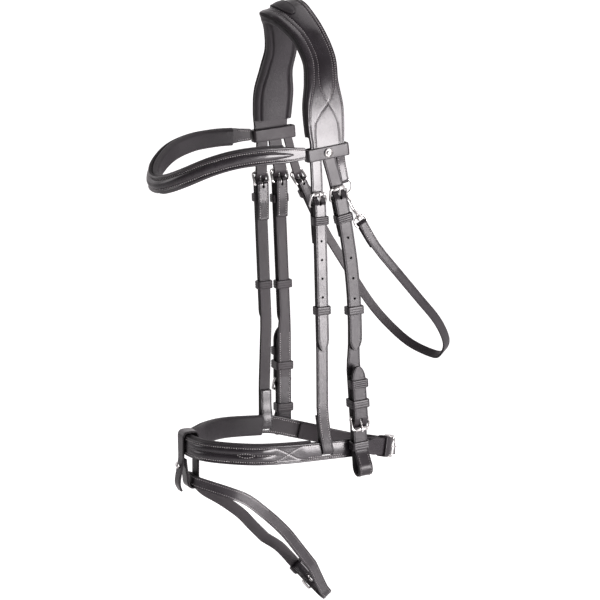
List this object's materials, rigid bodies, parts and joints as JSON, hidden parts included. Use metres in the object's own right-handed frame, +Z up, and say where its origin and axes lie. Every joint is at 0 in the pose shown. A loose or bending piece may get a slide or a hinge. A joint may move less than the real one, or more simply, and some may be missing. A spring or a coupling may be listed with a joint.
{
  "type": "horse bridle",
  "caption": "Leather snaffle bridle with a shaped padded headpiece, padded browband, flash noseband, cheekpieces with bit loops, and a throatlatch with ring and snap.",
  "frame": {"origin": "underside of the crown padding in the middle plane, where the horse's poll carries the bridle", "axes": "+Z up, -Y towards the horse's nose, +X towards its left side, called near"},
  "size_m": [0.1874, 0.3485, 0.674],
  "materials": {
    "leather": "smooth, waxed black",
    "lining": "soft, matt black",
    "metal": "bright stainless"
  },
  "bodies": {
    "bridle": {"bit_buckle_near": "metal", "bit_buckle_off": "metal", "bit_chape_near": "leather", "bit_chape_off": "leather", "bit_keeper_near": "leather", "bit_keeper_off": "leather", "browband_leather": "leather", "browband_loop_near": "leather", "browband_loop_off": "leather", "browband_padding": "lining", "browband_stud": "metal", "cheek_billet_near": "leather", "cheek_billet_off": "leather", "cheek_buckle_near": "metal", "cheek_buckle_off": "metal", "cheek_keeper_near": "leather", "cheek_keeper_off": "leather", "cheek_strap_near": "leather", "cheek_strap_off": "leather", "chin_buckle": "metal", "chin_strap": "leather", "crown_pad": "lining", "flash_loop": "leather", "headpiece_leather": "leather", "headpiece_padding": "lining", "nose_billet_near": "leather", "nose_billet_off": "leather", "nose_buckle_near": "metal", "nose_buckle_off": "metal", "nose_hanger_near": "leather", "nose_hanger_off": "leather", "nose_keeper_near": "leather", "nose_keeper_off": "leather", "noseband_leather": "leather", "noseband_padding": "lining"},
    "throatlatch": {"throat_tab_near": "leather", "throat_strap": "leather", "throat_buckle": "metal", "throat_billet_off": "leather", "snap_base": "metal"},
    "flash": {"flash_strap": "leather", "flash_buckle": "metal"},
    "bit_tongue_near_body": {"bit_tongue_near": "metal"},
    "bit_tongue_off_body": {"bit_tongue_off": "metal"},
    "cheek_tongue_near_body": {"cheek_tongue_near": "metal"},
    "cheek_tongue_off_body": {"cheek_tongue_off": "metal"},
    "chin_tongue_body": {"chin_tongue": "metal"},
    "flash_tongue_body": {"flash_tongue": "metal"},
    "nose_tongue_near_body": {"nose_tongue_near": "metal"},
    "nose_tongue_off_body": {"nose_tongue_off": "metal"},
    "throat_tongue_body": {"throat_tongue": "metal"},
    "bit_runner_near_body": {"bit_runner_near": "leather"},
    "bit_runner_off_body": {"bit_runner_off": "leather"},
    "cheek_runner_near_body": {"cheek_runner_near": "leather"},
    "cheek_runner_off_body": {"cheek_runner_off": "leather"},
    "nose_runner_near_body": {"nose_runner_near": "leather"},
    "nose_runner_off_body": {"nose_runner_off": "leather"},
    "throat_ring_body": {"throat_ring": "metal"},
    "snap_hook_body": {"snap_hook": "metal"},
    "snap_gate_body": {"snap_gate": "metal"}
  },
  "joints": [
    {"name": "bit_tongue_near_hinge", "type": "hinge", "parent": "bridle", "child": "bit_tongue_near_body", "pos_m": [0.0821, 0.057, -0.427], "axis": [0, -0.9973, -0.0732], "range_deg": [0, 8]},
    {"name": "bit_tongue_off_hinge", "type": "hinge", "parent": "bridle", "child": "bit_tongue_off_body", "pos_m": [-0.0821, 0.039, -0.418], "axis": [0, 1, 0], "range_deg": [0, 8]},
    {"name": "cheek_tongue_near_hinge", "type": "hinge", "parent": "bridle", "child": "cheek_tongue_near_body", "pos_m": [0.073, 0.0363, -0.19], "axis": [0, 0.9903, 0.1392], "range_deg": [0, 8]},
    {"name": "cheek_tongue_off_hinge", "type": "hinge", "parent": "bridle", "child": "cheek_tongue_off_body", "pos_m": [-0.073, 0.0332, -0.192], "axis": [0, -0.9991, -0.0419], "range_deg": [0, 8]},
    {"name": "chin_tongue_hinge", "type": "hinge", "parent": "bridle", "child": "chin_tongue_body", "pos_m": [0.04, 0.1075, -0.475], "axis": [0.1489, -0.1906, -0.9703], "range_deg": [0, 8]},
    {"name": "flash_tongue_hinge", "type": "hinge", "parent": "flash", "child": "flash_tongue_body", "pos_m": [-0.011, 0.0386, -0.6305], "axis": [0, 0.766, 0.6428], "range_deg": [0, 8]},
    {"name": "nose_tongue_near_hinge", "type": "hinge", "parent": "bridle", "child": "nose_tongue_near_body", "pos_m": [0.073, 0.0119, -0.195], "axis": [0, 0.9997, 0.0262], "range_deg": [0, 8]},
    {"name": "nose_tongue_off_hinge", "type": "hinge", "parent": "bridle", "child": "nose_tongue_off_body", "pos_m": [-0.073, 0.0105, -0.194], "axis": [0, -0.9992, -0.0401], "range_deg": [0, 8]},
    {"name": "throat_tongue_hinge", "type": "hinge", "parent": "throatlatch", "child": "throat_tongue_body", "pos_m": [-0.073, 0.059, -0.194], "axis": [0, -0.8988, -0.4384], "range_deg": [0, 8]},
    {"name": "bit_runner_near_slide", "type": "slide", "parent": "bridle", "child": "bit_runner_near_body", "axis": [0, 0.0732, -0.9973], "range_m": [-0.003, 0.003]},
    {"name": "bit_runner_off_slide", "type": "slide", "parent": "bridle", "child": "bit_runner_off_body", "axis": [0, 0, -1], "range_m": [-0.003, 0.003]},
    {"name": "cheek_runner_near_slide", "type": "slide", "parent": "bridle", "child": "cheek_runner_near_body", "axis": [0, -0.0484, 0.9988], "range_m": [-0.012, 0.012]},
    {"name": "cheek_runner_off_slide", "type": "slide", "parent": "bridle", "child": "cheek_runner_off_body", "axis": [0, -0.0419, 0.9991], "range_m": [-0.018, 0.018]},
    {"name": "nose_runner_near_slide", "type": "slide", "parent": "bridle", "child": "nose_runner_near_body", "axis": [0, -0.0262, 0.9997], "range_m": [-0.018, 0.018]},
    {"name": "nose_runner_off_slide", "type": "slide", "parent": "bridle", "child": "nose_runner_off_body", "axis": [0, -0.0401, 0.9992], "range_m": [-0.018, 0.018]},
    {"name": "throatlatch_swing", "type": "hinge", "parent": "bridle", "child": "throatlatch", "pos_m": [0, 0.0405, -0.146], "axis": [1, 0, 0], "range_deg": [-1.5, 8]},
    {"name": "throat_ring_hinge", "type": "hinge", "parent": "throatlatch", "child": "throat_ring_body", "pos_m": [0.0658, 0.0448, -0.1695], "axis": [0, 0.9781, 0.2079], "range_deg": [-1.5, 1.5]},
    {"name": "snap_swivel", "type": "hinge", "parent": "throatlatch", "child": "snap_hook_body", "pos_m": [0.0658, 0.06781, -0.2198], "axis": [0, -0.5, 0.866], "range_deg": [-6, 6]},
    {"name": "snap_gate_hinge", "type": "hinge", "parent": "snap_hook_body", "child": "snap_gate_body", "pos_m": [0.07, 0.05941, -0.20525], "axis": [0, -0.866, -0.5], "range_deg": [0, 20], "stiffness_Nm_per_rad": 0.01},
    {"name": "flash_swing", "type": "hinge", "parent": "bridle", "child": "flash", "pos_m": [0, -0.1054, -0.4985], "axis": [1, 0, 0], "range_deg": [-20, 10]}
  ]
}
